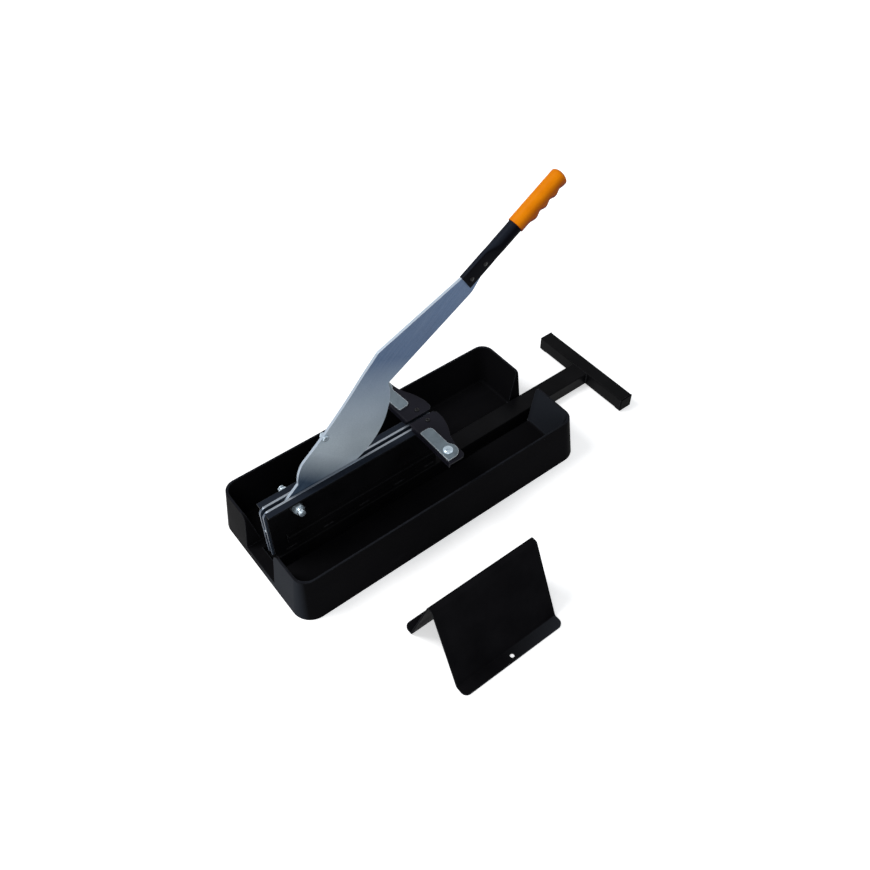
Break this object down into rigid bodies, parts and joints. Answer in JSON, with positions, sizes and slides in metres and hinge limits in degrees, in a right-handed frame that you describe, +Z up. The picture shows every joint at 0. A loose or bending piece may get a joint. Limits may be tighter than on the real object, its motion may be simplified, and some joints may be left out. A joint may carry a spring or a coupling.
{
  "type": "laminate cutter",
  "caption": "Bench guillotine for laminate planks: a curved lever blade shears between two rails on a tray base with a T foot, with pivoting fence plates and a free support stand.",
  "frame": {"origin": "centre of the tray's flat underside, on the ground", "axes": "+X along the tool towards the T foot, +Y across it away from the support stand, +Z up"},
  "size_m": [0.8007, 0.5532, 0.5496],
  "materials": {
    "tray_plastic": "fine moulded grain, black",
    "frame_paint": "black powder coat",
    "cap_plastic": "black plastic",
    "foot_rubber": "black rubber",
    "anvil_zinc": "bright zinc plate",
    "fence_zinc": "bright zinc plate",
    "bolt_zinc": "zinc plated fixings",
    "screw_black": "black oxide screws",
    "wing_paint": "black powder coat",
    "blade_steel": "plated steel, cool satin",
    "handle_paint": "black powder coat, satin",
    "rivet_steel": "dark steel",
    "grip_plastic": "soft orange plastic, half gloss",
    "stand_paint": "black powder coat"
  },
  "bodies": {
    "base": {"tray": "tray_plastic", "stem_tube": "frame_paint", "cross_tube": "frame_paint", "cross_tube_caps": "cap_plastic", "cross_tube_feet": "foot_rubber", "anvil_plate_near": "anvil_zinc", "anvil_plate_far": "anvil_zinc", "rail_angle_near": "frame_paint", "rail_angle_far": "frame_paint", "side_angle_near": "frame_paint", "side_angle_far": "frame_paint", "rail_spacers": "bolt_zinc", "pivot_stud": "bolt_zinc", "pivot_nuts": "bolt_zinc", "wing_near": "wing_paint", "wing_far": "wing_paint", "wing_spacers": "bolt_zinc", "wing_screws": "screw_black", "fence_bolts": "bolt_zinc", "fence_nuts": "bolt_zinc"},
    "blade": {"blade_plate": "blade_steel", "handle_tube": "handle_paint", "handle_rivets": "rivet_steel", "handle_grip": "grip_plastic", "blade_bolt": "bolt_zinc", "blade_bolt_nut": "bolt_zinc"},
    "fence_near": {"fence_plate_near": "fence_zinc"},
    "fence_far": {"fence_plate_far": "fence_zinc"},
    "support_stand": {"stand_sheet": "stand_paint"}
  },
  "joints": [
    {"name": "blade_pivot", "type": "hinge", "parent": "base", "child": "blade", "pos_m": [-0.2325, 0, 0.133], "axis": [0, 1, 0], "range_deg": [-28, 33]},
    {"name": "fence_near_turn", "type": "hinge", "parent": "base", "child": "fence_near", "pos_m": [0.0283, -0.0955, 0.1629], "axis": [0, 0, 1], "range_deg": [-45, 45]},
    {"name": "fence_far_turn", "type": "hinge", "parent": "base", "child": "fence_far", "pos_m": [0.0283, 0.0955, 0.1629], "axis": [0, 0, 1], "range_deg": [-49, 41]},
    {"name": "stand_slide", "type": "slide", "parent": "base", "child": "support_stand", "axis": [0, 1, 0], "range_m": [-0.2, 0.09]}
  ]
}
